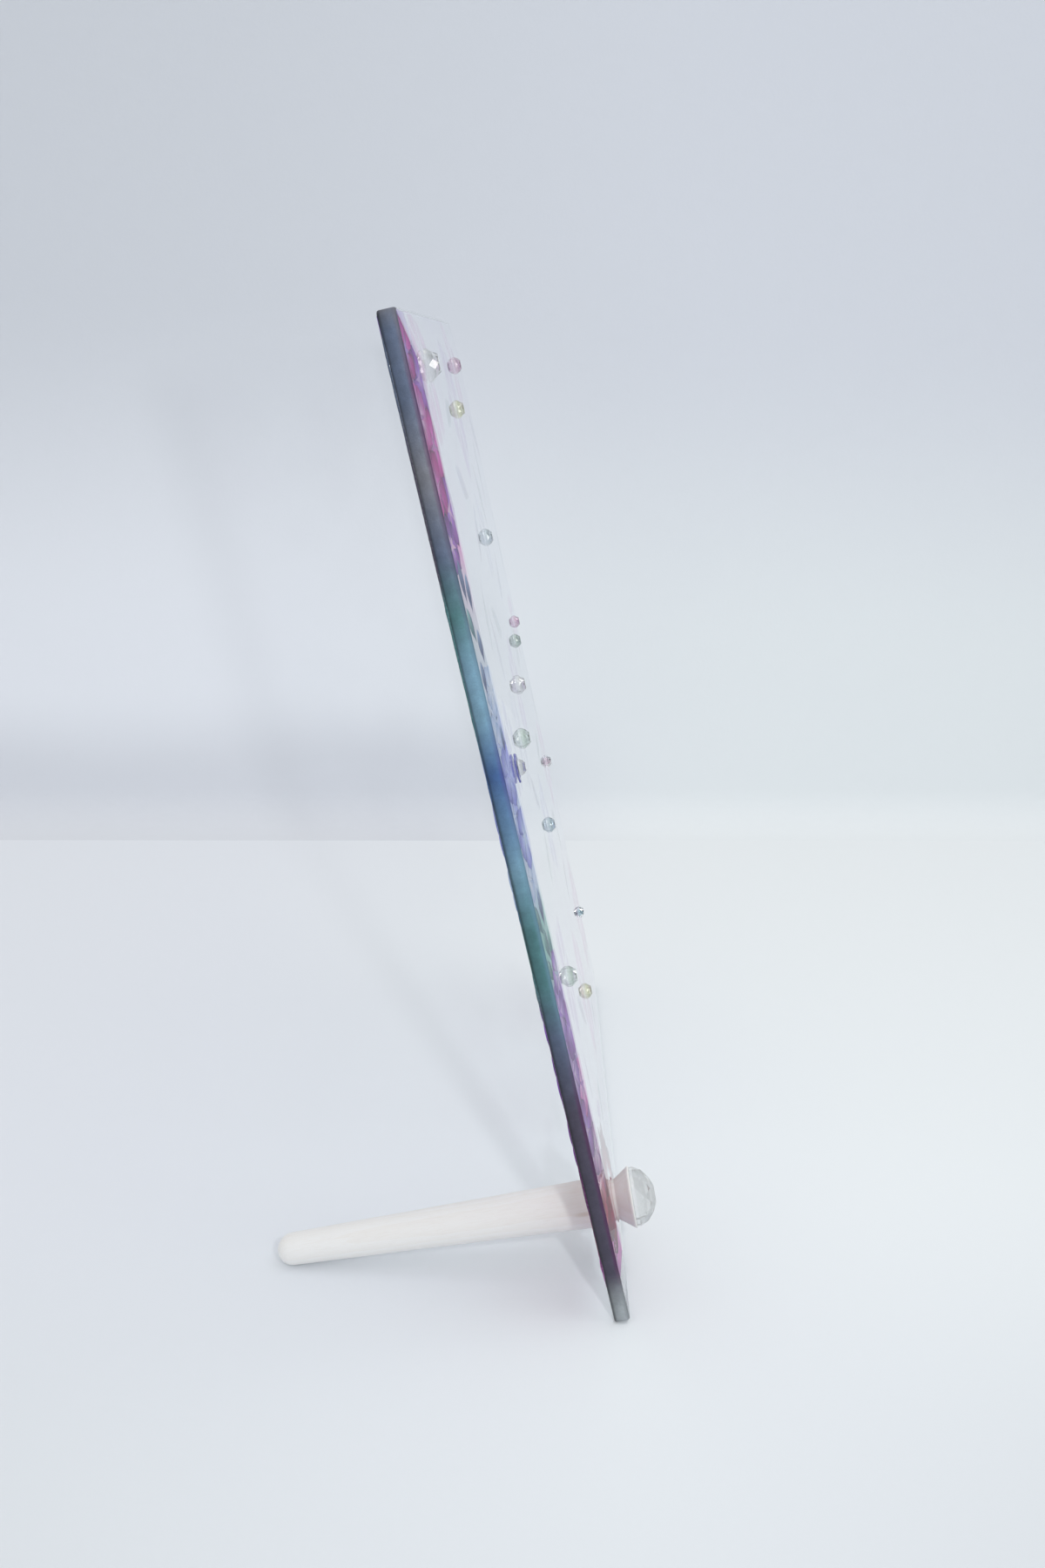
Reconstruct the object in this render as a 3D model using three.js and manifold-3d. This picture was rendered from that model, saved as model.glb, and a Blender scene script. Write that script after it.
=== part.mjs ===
// Glass picture frame: a bevelled pane with a painted picture layer on its back and cut crystals
// on its front, which leans on one turned wooden leg that runs through a hole near a lower corner.
// Millimetres, +Z up, the front faces -Y, and the origin is under the middle of the whole object.

import * as THREE from 'three';
import { mergeVertices } from 'three/addons/utils/BufferGeometryUtils.js';
import Module from 'manifold-3d';

const wasm = await Module();
wasm.setup();

// Pane
const PANE_WIDTH = 180;
const PANE_HEIGHT = 240;
const PANE_THICKNESS = 5;
const PANE_CORNER_RADIUS = 1.5;
const FACET_WIDTH = 10;          // the bevel round the front face
const FACET_DEPTH = 1.2;
const ARRIS = 0.5;               // 45 degree flats on the ground edge
const PANE_LEAN_DEG = 12.2;      // back from upright

// Hole for the leg, and the leg
const HOLE_FROM_SIDE = 23;
const HOLE_FROM_BOTTOM = 19;
const COLLAR_RADIUS = 5;         // the part of the head that runs through the glass
const LEG_TIP_DEG = 1.8;         // how far the leg tips in its hole from square to the glass
const LEG_SHOULDER = 0.6;        // how much wider the leg's root is than the hole
const LEG_TAIL_RADIUS = 4.1;
const LEG_EDGE = 0.5;            // rounding at the root
const HEAD_FLARE = 2.7;          // how much wider the rim is than the collar
const HEAD_RIM_EDGE = 0.35;
const HEAD_CONE_LENGTH = 4.25;
const COLLAR_SHOW = 0.35;        // the collar seen between glass and cone
const TENON_SHOULDER = 2;        // how much thinner the tenon is than the collar
const TENON_LENGTH = 18;

// Crystals and the raised flower
const CRYSTAL_SIDES = 12;
const CRYSTAL_HEIGHT_RATIO = 0.38;   // of the diameter
const GIRDLE_RATIO = 0.1;
const TABLE_RATIO = 0.45;
const HEAD_CRYSTAL_INSET = 0.3;      // how far the crystal stays inside the rim
const HEAD_CRYSTAL_HEIGHT = 5.7;
const HEAD_CRYSTAL_SIDES = 16;
const FLOWER_RADIUS = 3.6;
const FLOWER_PETALS = 5;
const FLOWER_PETAL_DEPTH = 0.2;      // how far the notches between petals go in, as a share
const FLOWER_THICKNESS = 0.8;

// Painted layer on the back
const LAYER_THICKNESS = 0.4;
const LAYER_MARGIN = 1;
const LAYER_BARE_FOOT = 10.5;        // the pane is bare below this height

// Fits
const GLUE_GAP = 0.3;                // between a glued piece and what carries it
const SEAT_GAP = 0.3;                // between leg and glass
const HOLE_CLEARANCE = 0.5;          // radial, collar in the hole
const TENON_CLEARANCE = 0.3;         // radial, tenon in its socket
const SOCKET_SPARE = 1;              // left free at the end of the socket

const ROUND_SIDES = 48;
const ARC_STEPS = 8;

const TINT = {
  clear: 0xe2e8ec,
  sky: 0xc3d0dc,
  rose: 0xd3a0bb,
  leaf: 0xb5c9ae,
  moss: 0x9fb0a8,
  lemon: 0xd6d3a4,
  sea: 0x8fb0b4,
  teal: 0x5f93a8,
};

// Places on the pane: x across from a side or the middle, y up from the bottom, the middle or the top.
const SIDE = { left: 0, middle: PANE_WIDTH / 2, right: PANE_WIDTH };
const LEVEL = { bottom: 0, middle: PANE_HEIGHT / 2, top: PANE_HEIGHT };
const CRYSTALS = [
  { name: 'crystal_top_left', side: 'left', x: 30, level: 'top', y: -11.5, size: 7, tint: 'clear' },
  { name: 'crystal_top_right', side: 'right', x: -44, level: 'top', y: -13, size: 4.8, tint: 'rose' },
  { name: 'crystal_top_middle', side: 'middle', x: 12, level: 'top', y: -24, size: 4.8, tint: 'lemon' },
  { name: 'crystal_upper_middle', side: 'middle', x: 13, level: 'top', y: -59, size: 4.7, tint: 'sky' },
  { name: 'crystal_right_pink', side: 'right', x: -25, level: 'middle', y: 26, size: 4, tint: 'rose' },
  { name: 'crystal_right_green', side: 'right', x: -45, level: 'middle', y: 24, size: 4.3, tint: 'moss' },
  { name: 'crystal_centre', side: 'middle', x: 9, level: 'middle', y: 19, size: 5.4, tint: 'clear' },
  { name: 'crystal_left_of_centre', side: 'middle', x: -25, level: 'middle', y: 13, size: 5.4, tint: 'leaf' },
  { name: 'crystal_lower_right', side: 'right', x: -20, level: 'middle', y: -24, size: 4.3, tint: 'rose' },
  { name: 'crystal_lower_middle', side: 'middle', x: 8, level: 'middle', y: -24, size: 4.6, tint: 'sea' },
  { name: 'crystal_bottom_right', side: 'right', x: -22, level: 'bottom', y: 40, size: 4.2, tint: 'teal' },
  { name: 'crystal_lower_left', side: 'left', x: 39, level: 'middle', y: -44, size: 5.4, tint: 'leaf' },
  { name: 'crystal_bottom_middle', side: 'middle', x: 5, level: 'bottom', y: 42, size: 4.8, tint: 'lemon' },
];
const FLOWER = { side: 'left', x: 21, level: 'middle', y: 19, crystalSize: 3.9 };

// Values that follow from the ones above
const radians = THREE.MathUtils.degToRad;
const lean = radians(PANE_LEAN_DEG);
const tip = radians(LEG_TIP_DEG);
const rake = lean - tip;
const halfPane = PANE_THICKNESS / 2;
const holeRadius = COLLAR_RADIUS + HOLE_CLEARANCE;
const rootRadius = holeRadius + LEG_SHOULDER;
const tenonRadius = COLLAR_RADIUS - TENON_SHOULDER;
const socketRadius = tenonRadius + TENON_CLEARANCE;
const rimRadius = COLLAR_RADIUS + HEAD_FLARE;
const headCrystalRadius = rimRadius - HEAD_CRYSTAL_INSET;
// The leg isn't square to the glass, so its flat root and its cone keep their gaps at the near side.
const rootStation = halfPane + SEAT_GAP + rootRadius * Math.abs(Math.sin(tip));
const neckStation = -(halfPane + COLLAR_RADIUS * Math.abs(Math.sin(tip)) + COLLAR_SHOW);
const rimStation = neckStation - HEAD_CONE_LENGTH;
const collarEnd = rootStation - SEAT_GAP;
const tenonEnd = collarEnd + TENON_LENGTH;
const socketEnd = tenonEnd + SOCKET_SPARE;

const finish = {
  glass: { color: 0xdfe8ea, roughness: 0.05, metalness: 0 },
  paint: { color: 0xa88fb8, roughness: 0.35, metalness: 0 },
  violet: { color: 0x6a6cab, roughness: 0.3, metalness: 0 },
  wood: { color: 0xe2dad2, roughness: 0.6, metalness: 0 },
  crystal: { roughness: 0.02, metalness: 0 },
};

function mesh(name, geometry, look) {
  const material = new THREE.MeshStandardMaterial({ ...look, flatShading: true });
  const piece = new THREE.Mesh(geometry, material);
  piece.name = name;
  return piece;
}

// Booleans on closed meshes

function toSolid(geometry) {
  const bare = geometry.clone();
  bare.deleteAttribute('normal');
  bare.deleteAttribute('uv');
  const welded = mergeVertices(bare);
  return new wasm.Manifold(new wasm.Mesh({
    numProp: 3,
    vertProperties: new Float32Array(welded.attributes.position.array),
    triVerts: new Uint32Array(welded.index.array),
  }));
}

function toGeometry(solid) {
  const result = solid.getMesh();
  const geometry = new THREE.BufferGeometry();
  geometry.setAttribute('position', new THREE.BufferAttribute(result.vertProperties, 3));
  geometry.setIndex(new THREE.BufferAttribute(result.triVerts, 1));
  geometry.computeVertexNormals();
  return geometry;
}

// Sheet pieces are drawn in the pane's plane, x across and y up, and grow towards the front along z.

function rectangle(width, height, radius) {
  const shape = new THREE.Shape();
  const right = width / 2 - radius;
  const top = height / 2 - radius;
  if (radius === 0) {
    shape.moveTo(-right, -top);
    shape.lineTo(right, -top);
    shape.lineTo(right, top);
    shape.lineTo(-right, top);
    return shape;
  }
  shape.absarc(right, top, radius, 0, Math.PI / 2);
  shape.absarc(-right, top, radius, Math.PI / 2, Math.PI);
  shape.absarc(-right, -top, radius, Math.PI, Math.PI * 1.5);
  shape.absarc(right, -top, radius, Math.PI * 1.5, Math.PI * 2);
  return shape;
}

// A slab whose edge slopes in by `slopeWidth` over the last `slopeDepth` at both ends.
function slopedSlab(radius, from, to, slopeWidth, slopeDepth) {
  const inner = rectangle(PANE_WIDTH - 2 * slopeWidth, PANE_HEIGHT - 2 * slopeWidth, radius);
  const geometry = new THREE.ExtrudeGeometry(inner, {
    depth: to - from - 2 * slopeDepth,
    bevelEnabled: true,
    bevelThickness: slopeDepth,
    bevelSize: slopeWidth,
    bevelSegments: 1,
    curveSegments: ARC_STEPS,
  });
  geometry.translate(0, PANE_HEIGHT / 2, from + slopeDepth);
  return toSolid(geometry);
}

function glassPane() {
  const corner = PANE_CORNER_RADIUS - ARRIS;
  const edgeTop = PANE_THICKNESS - FACET_DEPTH;
  const frontSlope = FACET_DEPTH + ARRIS;
  const groundEdge = slopedSlab(corner, 0, 2 * PANE_THICKNESS, ARRIS, ARRIS);
  const frontArris = slopedSlab(0, -PANE_THICKNESS, edgeTop - ARRIS + frontSlope, frontSlope, frontSlope);
  const facet = slopedSlab(0, -PANE_THICKNESS, PANE_THICKNESS, FACET_WIDTH, FACET_DEPTH);
  const drill = new THREE.CylinderGeometry(holeRadius, holeRadius, 3 * PANE_THICKNESS, ROUND_SIDES);
  drill.rotateX(Math.PI / 2);
  drill.translate(holeX(), HOLE_FROM_BOTTOM, 0);
  const solid = groundEdge.intersect(facet).intersect(frontArris).subtract(toSolid(drill));
  return mesh('glass_pane', toGeometry(solid), finish.glass);
}

function holeX() {
  return HOLE_FROM_SIDE - PANE_WIDTH / 2;
}

function pictureLayer() {
  const width = PANE_WIDTH - 2 * LAYER_MARGIN;
  const height = PANE_HEIGHT - LAYER_MARGIN - LAYER_BARE_FOOT;
  const shape = rectangle(width, height, PANE_CORNER_RADIUS);
  const middle = LAYER_BARE_FOOT + height / 2;
  const opening = new THREE.Path();
  const openingRadius = rootRadius + 2 * SEAT_GAP;
  opening.absarc(holeX(), HOLE_FROM_BOTTOM - middle, openingRadius, 0, Math.PI * 2, true);
  shape.holes.push(opening);
  const geometry = new THREE.ExtrudeGeometry(shape, {
    depth: LAYER_THICKNESS,
    bevelEnabled: false,
    curveSegments: ARC_STEPS * 2,
  });
  geometry.translate(0, middle, -GLUE_GAP - LAYER_THICKNESS);
  return mesh('picture_layer', geometry, finish.paint);
}

// Pieces glued to the front face

function onFace(piece, place, lift) {
  piece.position.set(
    SIDE[place.side] + place.x - PANE_WIDTH / 2,
    LEVEL[place.level] + place.y,
    PANE_THICKNESS + GLUE_GAP + lift,
  );
  return piece;
}

function cutStone(name, radius, height, rings, sides, color) {
  const girdle = [new THREE.Vector2(0, 0), new THREE.Vector2(radius, 0)];
  const crown = rings.map(([share, rise]) => new THREE.Vector2(radius * share, height * rise));
  const profile = [...girdle, ...crown, new THREE.Vector2(0, height)];
  const geometry = new THREE.LatheGeometry(profile, sides);
  geometry.rotateX(Math.PI / 2);
  return mesh(name, geometry, { ...finish.crystal, color });
}

function faceCrystal(name, size, color) {
  const height = size * CRYSTAL_HEIGHT_RATIO;
  const rings = [[1, GIRDLE_RATIO / CRYSTAL_HEIGHT_RATIO], [TABLE_RATIO, 1]];
  return cutStone(name, size / 2, height, rings, CRYSTAL_SIDES, color);
}

function raisedFlower() {
  const shape = new THREE.Shape();
  const steps = FLOWER_PETALS * ARC_STEPS;
  for (let i = 0; i < steps; i += 1) {
    const turn = (i / steps) * Math.PI * 2;
    const lobe = Math.abs(Math.cos((turn * FLOWER_PETALS) / 2));
    const reach = FLOWER_RADIUS * (1 - FLOWER_PETAL_DEPTH + FLOWER_PETAL_DEPTH * lobe);
    const x = reach * Math.cos(turn);
    const y = reach * Math.sin(turn);
    if (i === 0) shape.moveTo(x, y);
    else shape.lineTo(x, y);
  }
  const geometry = new THREE.ExtrudeGeometry(shape, { depth: FLOWER_THICKNESS, bevelEnabled: false });
  return mesh('flower_petals', geometry, finish.violet);
}

// Turned pieces are lathed about their own y axis, which runs from the head towards the tail.
// Station 0 is the middle of the glass.

function lathed(name, stations, look) {
  const profile = stations.map(([radius, station]) => new THREE.Vector2(radius, station));
  return mesh(name, new THREE.LatheGeometry(profile, ROUND_SIDES), look);
}

function arcStations(centre, radius, start, from, to) {
  const stations = [];
  for (let i = 0; i <= ARC_STEPS; i += 1) {
    const turn = from + ((to - from) * i) / ARC_STEPS;
    stations.push([start + radius * Math.cos(turn), centre + radius * Math.sin(turn)]);
  }
  return stations;
}

// How high the middle of the hole stands over the table.
function holeHeight() {
  const back = ARRIS;
  return HOLE_FROM_BOTTOM * Math.cos(lean) + (halfPane - back) * Math.sin(lean);
}

// The ball of the tail rests on the table, which sets the leg's length.
function tailStation() {
  return (holeHeight() - LEG_TAIL_RADIUS) / Math.sin(rake);
}

function legShaft() {
  const rootEdge = arcStations(rootStation + LEG_EDGE, LEG_EDGE, rootRadius - LEG_EDGE, -Math.PI / 2, 0);
  const ball = arcStations(tailStation(), LEG_TAIL_RADIUS, 0, 0, Math.PI / 2);
  ball[ball.length - 1][0] = 0;
  return lathed('leg_shaft', [
    [0, socketEnd],
    [socketRadius, socketEnd],
    [socketRadius, rootStation],
    ...rootEdge,
    ...ball,
  ], finish.wood);
}

function legHead() {
  return lathed('leg_head', [
    [0, rimStation],
    [rimRadius - HEAD_RIM_EDGE, rimStation],
    [rimRadius, rimStation + HEAD_RIM_EDGE],
    [COLLAR_RADIUS, neckStation],
    [COLLAR_RADIUS, collarEnd],
    [tenonRadius, collarEnd],
    [tenonRadius, tenonEnd],
    [0, tenonEnd],
  ], finish.wood);
}

function headCrystal() {
  const rings = [[1, 0.14], [0.82, 0.52], [0.5, 0.85], [0.22, 1]];
  const piece = cutStone(
    'head_crystal', headCrystalRadius, HEAD_CRYSTAL_HEIGHT, rings, HEAD_CRYSTAL_SIDES, TINT.clear,
  );
  piece.rotation.x = Math.PI / 2;
  piece.position.y = rimStation - GLUE_GAP;
  return piece;
}

function paneGroup() {
  const sheet = new THREE.Group();
  sheet.rotation.x = Math.PI / 2;
  sheet.add(glassPane(), pictureLayer());
  for (const stone of CRYSTALS) {
    sheet.add(onFace(faceCrystal(stone.name, stone.size, TINT[stone.tint]), stone, 0));
  }
  sheet.add(onFace(raisedFlower(), FLOWER, 0));
  const bud = faceCrystal('flower_crystal', FLOWER.crystalSize, TINT.clear);
  sheet.add(onFace(bud, FLOWER, FLOWER_THICKNESS + GLUE_GAP));
  const leaning = new THREE.Group();
  leaning.rotation.x = -lean;
  leaning.position.z = -ARRIS * Math.sin(lean);
  leaning.add(sheet);
  return leaning;
}

function legGroup() {
  const leg = new THREE.Group();
  leg.rotation.x = -rake;
  const forward = halfPane * Math.cos(lean) - HOLE_FROM_BOTTOM * Math.sin(lean);
  leg.position.set(holeX(), -forward, holeHeight());
  leg.add(legShaft(), legHead(), headCrystal());
  return leg;
}

function pictureFrame() {
  const frame = new THREE.Group();
  frame.add(paneGroup(), legGroup());
  const bounds = new THREE.Box3().setFromObject(frame, true);
  frame.position.y = -(bounds.min.y + bounds.max.y) / 2;
  return frame;
}

export default pictureFrame();
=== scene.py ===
"""Blender scene of the leaning glass picture: glass, paint, crystals, wooden leg, studio and camera."""

import math

import bpy
import bmesh
from mathutils import Matrix, Vector, noise


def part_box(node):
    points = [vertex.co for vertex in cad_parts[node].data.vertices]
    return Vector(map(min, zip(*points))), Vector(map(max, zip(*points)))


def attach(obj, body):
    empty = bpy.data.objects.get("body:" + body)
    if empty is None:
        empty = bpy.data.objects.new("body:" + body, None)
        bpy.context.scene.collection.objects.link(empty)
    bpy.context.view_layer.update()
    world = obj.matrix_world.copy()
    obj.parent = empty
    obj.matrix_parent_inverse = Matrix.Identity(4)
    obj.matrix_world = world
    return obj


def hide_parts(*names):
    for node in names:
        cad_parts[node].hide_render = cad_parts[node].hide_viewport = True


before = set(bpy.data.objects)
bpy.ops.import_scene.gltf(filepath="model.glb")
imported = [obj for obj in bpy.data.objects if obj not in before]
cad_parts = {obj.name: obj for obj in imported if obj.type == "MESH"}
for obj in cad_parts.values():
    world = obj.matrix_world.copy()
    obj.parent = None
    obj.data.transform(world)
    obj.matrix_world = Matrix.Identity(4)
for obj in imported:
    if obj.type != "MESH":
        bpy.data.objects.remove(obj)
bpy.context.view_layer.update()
scene = bpy.context.scene

MM = 0.001

# Sizes of the frame, in millimetres, as in the CAD part
PANE_WIDTH = 180.0
PANE_HEIGHT = 240.0
PANE_THICKNESS = 5.0
PANE_CORNER_RADIUS = 1.5
PANE_LEAN_DEG = 12.2
FACET_WIDTH = 10.0
FACET_DEPTH = 1.2
ARRIS = 0.5
HOLE_FROM_SIDE = 23.0
HOLE_FROM_BOTTOM = 19.0
HOLE_RADIUS = 5.5
LEG_TIP_DEG = 1.8
BARE_FOOT = 10.5
LAYER_MARGIN = 1.0

LEAN = math.radians(PANE_LEAN_DEG)
RAKE = LEAN - math.radians(LEG_TIP_DEG)
LEG_AXIS = Vector((0, math.cos(RAKE), -math.sin(RAKE)))
LEG_UP = Vector((0, math.sin(RAKE), math.cos(RAKE)))
PANE_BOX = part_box("glass_pane")
PANE_Y = PANE_BOX[1].y / MM - (PANE_HEIGHT - ARRIS) * math.sin(LEAN)
PANE_Z = -ARRIS * math.sin(LEAN)


def on_pane(t, h, f):
    """A point of the pane in metres: t from the left edge, h up the pane, f forwards from the back face."""
    y = PANE_Y + h * math.sin(LEAN) - f * math.cos(LEAN)
    z = PANE_Z + h * math.cos(LEAN) + f * math.sin(LEAN)
    return Vector((t - PANE_WIDTH / 2, y, z)) * MM


def middle_on_pane(low, high):
    """The place (t, h) of the middle of a box that lies on the pane."""
    centre = (low + high) / 2 / MM
    up = (centre.y - PANE_Y) * math.sin(LEAN) + (centre.z - PANE_Z) * math.cos(LEAN)
    return centre.x + PANE_WIDTH / 2, up


def on_leg(station, radius, angle):
    """A point of the leg in metres: station along its axis from the middle of the glass towards the tail."""
    centre = on_pane(HOLE_FROM_SIDE, HOLE_FROM_BOTTOM, PANE_THICKNESS / 2)
    side = Vector((-1, 0, 0)) * radius * math.cos(angle)
    return centre + (LEG_AXIS * station + side + LEG_UP * radius * math.sin(angle)) * MM


# Mesh helpers

def raw_mesh(name, points, faces):
    mesh = bpy.data.meshes.new(name)
    mesh.from_pydata([tuple(p) for p in points], [], faces)
    mesh.polygons.foreach_set("use_smooth", [True] * len(faces))
    return mesh


def clean(mesh, merge, degenerate):
    """Merges points that meet and turns all faces outwards."""
    tidy = bmesh.new()
    tidy.from_mesh(mesh)
    bmesh.ops.remove_doubles(tidy, verts=tidy.verts, dist=merge)
    bmesh.ops.dissolve_degenerate(tidy, dist=degenerate, edges=tidy.edges)
    bmesh.ops.recalc_face_normals(tidy, faces=tidy.faces)
    tidy.to_mesh(mesh)
    tidy.free()


def new_object(name, data):
    thing = bpy.data.objects.new(name, data)
    scene.collection.objects.link(thing)
    return thing


def mesh_object(name, mesh, materials):
    for material in materials:
        mesh.materials.append(material)
    return new_object(name, mesh)


def from_bmesh(name, tidy, materials):
    bmesh.ops.recalc_face_normals(tidy, faces=tidy.faces)
    mesh = bpy.data.meshes.new(name)
    tidy.to_mesh(mesh)
    tidy.free()
    return mesh_object(name, mesh, materials)


def build(name, points, faces, body, material, node=None):
    """One mesh piece from points and faces, which rides on a body and may stand for a CAD node."""
    mesh = raw_mesh(name, points, faces)
    mesh.validate()
    clean(mesh, 2e-7, 1e-8)
    piece = mesh_object(name, mesh, (material,))
    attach(piece, body)
    if node:
        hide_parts(node)
    return piece


def grid_faces(rows, columns):
    """Quads between rows of points, closed round each row."""
    faces = []
    for a in range(0, (rows - 1) * columns, columns):
        for j in range(columns):
            following = (j + 1) % columns
            faces.append((a + j, a + following, a + following + columns, a + j + columns))
    return faces


def petal_grid(rows, columns):
    """(back, u, v) of the points on a petal's two sides: u from its start to its tip, v from side to side."""
    for back in (False, True):
        for i in range(rows):
            for j in range(columns):
                yield back, i / (rows - 1), 2 * j / (columns - 1) - 1


def two_sides(base, rows, columns):
    """Quads of a petal's two sides by turns. The second side's points follow the first side's."""
    faces = []
    for i in range(rows - 1):
        for j in range(columns - 1):
            a = base + i * columns + j
            b = a + rows * columns
            faces.append((a, a + 1, a + columns + 1, a + columns))
            faces.append((b, b + columns, b + columns + 1, b + 1))
    return faces


LATHE_SIDES = 96


def lathe(name, profile, body, material, node):
    """A piece turned round the leg's axis. Its profile of (station, radius) starts and ends on the axis."""
    turns = [2 * math.pi * j / LATHE_SIDES for j in range(LATHE_SIDES)]
    points = [on_leg(s, r, turn) for s, r in profile for turn in turns]
    return build(name, points, grid_faces(len(profile), LATHE_SIDES), body, material, node)


# Material helpers

class Nodes:
    """Adds nodes to a material and links them in one call."""

    def __init__(self, name):
        self.material = bpy.data.materials.new(name)
        self.material.use_nodes = True
        self.tree = self.material.node_tree
        self.tree.nodes.clear()

    def add(self, kind, inputs=(), **settings):
        node = self.tree.nodes.new("ShaderNode" + kind)
        for key, value in settings.items():
            setattr(node, key, value)
        for key, value in dict(inputs).items():
            socket = node.inputs[key]
            if isinstance(value, bpy.types.NodeSocket):
                self.tree.links.new(value, socket)
            else:
                socket.default_value = (*value, 1)[:4] if socket.type == "RGBA" else value
        return node

    def math(self, operation, a, b=0.0, c=0.0, clamp=False):
        node = self.add("Math", {0: a, 1: b, 2: c}, operation=operation, use_clamp=clamp)
        return node.outputs[0]

    def times(self, a, b):
        return self.math("MULTIPLY", a, b)

    def vector(self, operation, a, b=(0, 0, 0)):
        node = self.add("VectorMath", {0: a, 1: b}, operation=operation)
        return node.outputs["Value" if operation in ("DOT_PRODUCT", "LENGTH") else "Vector"]

    def combine(self, *parts):
        return self.add("CombineXYZ", dict(enumerate(parts))).outputs[0]

    def noise(self, vector, scale, detail=3.0, roughness=0.5, distortion=0.0, color=False):
        node = self.add("TexNoise", {
            "Vector": vector, "Scale": scale, "Detail": detail, "Roughness": roughness,
            "Distortion": distortion})
        return node.outputs["Color" if color else "Fac"]

    def ramp(self, value, stops, smooth=False):
        node = self.add("ValToRGB", {"Fac": value})
        ramp = node.color_ramp
        ramp.interpolation = "EASE" if smooth else "LINEAR"
        while len(ramp.elements) < len(stops):
            ramp.elements.new(0.5)
        for element, (place, color) in zip(ramp.elements, stops):
            element.position = place
        for element, (place, color) in zip(ramp.elements, stops):
            element.color = (*color, 1)
        return node.outputs["Color"]

    def span(self, value, low, high, to_low=0.0, to_high=1.0, smooth=True):
        node = self.add("MapRange", {0: value, 1: low, 2: high, 3: to_low, 4: to_high})
        node.interpolation_type = "SMOOTHSTEP" if smooth else "LINEAR"
        return node.outputs[0]

    def mix(self, fac, a, b, blend="MIX"):
        node = self.add("Mix", {0: fac, 6: a, 7: b}, data_type="RGBA", blend_type=blend)
        return node.outputs[2]

    def shade(self, color, brightness):
        grey = self.add("CombineColor", {0: brightness, 1: brightness, 2: brightness}).outputs[0]
        return self.mix(1.0, color, grey, "MULTIPLY")

    def bump(self, height, strength, distance):
        node = self.add("Bump", {"Height": height, "Strength": strength, "Distance": distance})
        return node.outputs["Normal"]

    def transparent(self, color=(1, 1, 1)):
        return self.add("BsdfTransparent", {"Color": color}).outputs[0]

    def shader_mix(self, fac, a, b):
        return self.add("MixShader", {0: fac, 1: a, 2: b}).outputs[0]

    def finish(self, shader):
        out = self.add("OutputMaterial")
        self.tree.links.new(shader, out.inputs["Surface"])
        return self.material

    def principled(self, **inputs):
        names = {key.replace("_", " "): value for key, value in inputs.items()}
        return self.add("BsdfPrincipled", names).outputs[0]

    def place(self):
        return self.add("TexCoord").outputs["Object"]

    def along(self, origin, axes):
        """Millimetres from a point along each axis."""
        place = self.vector("SUBTRACT", self.place(), tuple(origin))
        return [self.times(self.vector("DOT_PRODUCT", place, tuple(axis)), 1 / MM) for axis in axes]

    def pane_place(self):
        """Sockets for t, h and f in millimetres."""
        up = (0, math.sin(LEAN), math.cos(LEAN))
        return self.along(on_pane(0, 0, 0), ((1, 0, 0), up, (0, -math.cos(LEAN), math.sin(LEAN))))

    def leg_place(self):
        """A vector with millimetres across the leg as x and y and along it as z."""
        return self.combine(*self.along(on_leg(0, 0, 0), ((1, 0, 0), LEG_UP, LEG_AXIS)))

    def share_up(self, h, drift, amount):
        """The share of the pane's height, shifted up and down by a noise."""
        drift = self.math("SUBTRACT", drift, 0.5)
        return self.math("DIVIDE", self.math("MULTIPLY_ADD", drift, amount, h), PANE_HEIGHT)

    def see_light_through(self, shader, tint):
        """Lets lamps and soft light through, where a real pane would bend them on."""
        path = self.add("LightPath")
        passing = self.math("MAXIMUM", path.outputs["Is Shadow Ray"], path.outputs["Is Diffuse Ray"])
        return self.shader_mix(passing, shader, self.transparent(tint))


def srgb(*display):
    """A display colour of 0 to 255 as linear values."""
    shares = [value / 255 for value in display]
    return tuple(s / 12.92 if s <= 0.04045 else ((s + 0.055) / 1.055) ** 2.4 for s in shares)


# Paints of the picture
MAGENTA = srgb(222, 62, 182)
FUCHSIA = srgb(242, 134, 220)
ROSE = srgb(246, 176, 226)
BERRY = srgb(140, 34, 112)
PINK_WHITE = srgb(244, 224, 240)
CRIMSON = srgb(140, 6, 48)
CRIMSON_LIGHT = srgb(190, 30, 92)
PURPLE = srgb(112, 52, 150)
ORCHID = srgb(170, 84, 194)
LILAC = srgb(186, 134, 230)
LAVENDER = srgb(178, 182, 246)
PERIWINKLE = srgb(92, 104, 200)
INDIGO = srgb(74, 70, 140)
SLATE = srgb(62, 84, 132)
PALE_BLUE = srgb(212, 224, 246)
SKY = srgb(160, 190, 226)
TEAL = srgb(56, 128, 132)
PALE_TEAL = srgb(160, 214, 206)
MIST = srgb(236, 240, 245)
PLUM = srgb(86, 34, 84)
MAUVE = srgb(196, 136, 192)

WOOD_PALE = srgb(241, 241, 240)
WOOD_CREAM = srgb(236, 233, 228)
WOOD_GRAIN = srgb(224, 216, 208)
WOOD_PORE = srgb(194, 174, 152)

# Washes on the ground edge
EDGE_GREY = srgb(130, 136, 140)
EDGE_FOOT = srgb(150, 156, 160)
EDGE_PALE = srgb(206, 214, 219)
EDGE_SLATE = srgb(76, 88, 110)
EDGE_SMOKE = srgb(100, 102, 110)
EDGE_TEAL = srgb(68, 108, 112)
EDGE_SEA = srgb(104, 138, 158)
EDGE_BLUE = srgb(54, 84, 130)
EDGE_PLUM = srgb(66, 62, 78)

# Glass: its index, its own tint, and the colour of light that has passed the pane
GLASS_IOR = 1.5
GLASS_TINT = (0.975, 0.99, 0.985)
GLASS_PASSES = (0.90, 0.92, 0.935)


# Materials

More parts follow.
